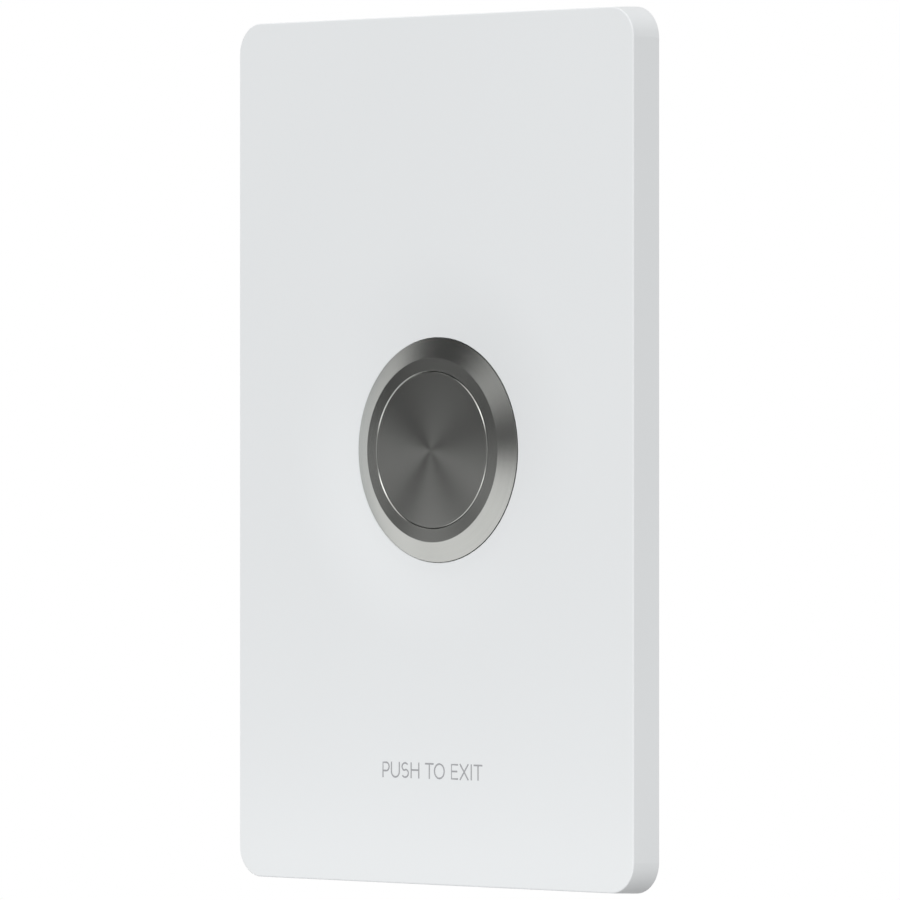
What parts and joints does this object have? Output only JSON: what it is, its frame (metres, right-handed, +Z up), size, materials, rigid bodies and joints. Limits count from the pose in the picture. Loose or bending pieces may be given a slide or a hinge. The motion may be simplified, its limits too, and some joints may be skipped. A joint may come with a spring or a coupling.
{
  "type": "door exit button",
  "caption": "White rectangular wall plate with a round stainless push button in a shallow dish; pressing it works a spring-return contact block that releases a door.",
  "frame": {"origin": "on the wall plane, midway between the two box screws, on the axis of the button", "axes": "+Z up, -Y out of the wall towards the person, +Y into the wall box, +X to the right seen from the front"},
  "size_m": [0.0798, 0.0343, 0.1242],
  "materials": {
    "white_plastic": "satin moulded",
    "zinc_steel": "zinc plated",
    "turned_stainless": "fine turned",
    "nut_stainless": "satin",
    "black_rubber": "matte",
    "white_acetal": "smooth",
    "spring_steel": "bright drawn",
    "black_nylon": "fine textured",
    "grey_nylon": "fine textured",
    "brass": "stamped",
    "silver_contact": "bright",
    "nickel_steel": "nickel plated"
  },
  "bodies": {
    "plate": {"front_cover": "white_plastic", "mounting_bracket": "zinc_steel", "button_housing": "turned_stainless", "head_seal": "black_rubber", "lock_washer": "zinc_steel", "panel_nut": "nut_stainless", "return_spring": "spring_steel", "contact_housing": "black_nylon", "terminal_base": "grey_nylon", "normally_closed_terminal_left": "brass", "normally_closed_terminal_right": "brass", "normally_open_terminal_left": "brass", "normally_open_terminal_right": "brass", "fixed_contacts": "silver_contact", "clamp_washers": "nickel_steel", "terminal_screws": "nickel_steel"},
    "button": {"button_cap": "turned_stainless", "cap_seal": "black_rubber", "plunger": "white_acetal", "retaining_ring": "spring_steel", "contact_carrier": "white_acetal", "contact_bridge": "brass", "bridge_contacts": "silver_contact", "contact_spring": "spring_steel"}
  },
  "joints": [
    {"name": "button_press", "type": "slide", "parent": "plate", "child": "button", "axis": [0, 1, 0], "range_m": [0, 0.002], "stiffness_N_per_m": 1200, "springref_m": -0.0025, "deforming": ["return_spring"]}
  ]
}
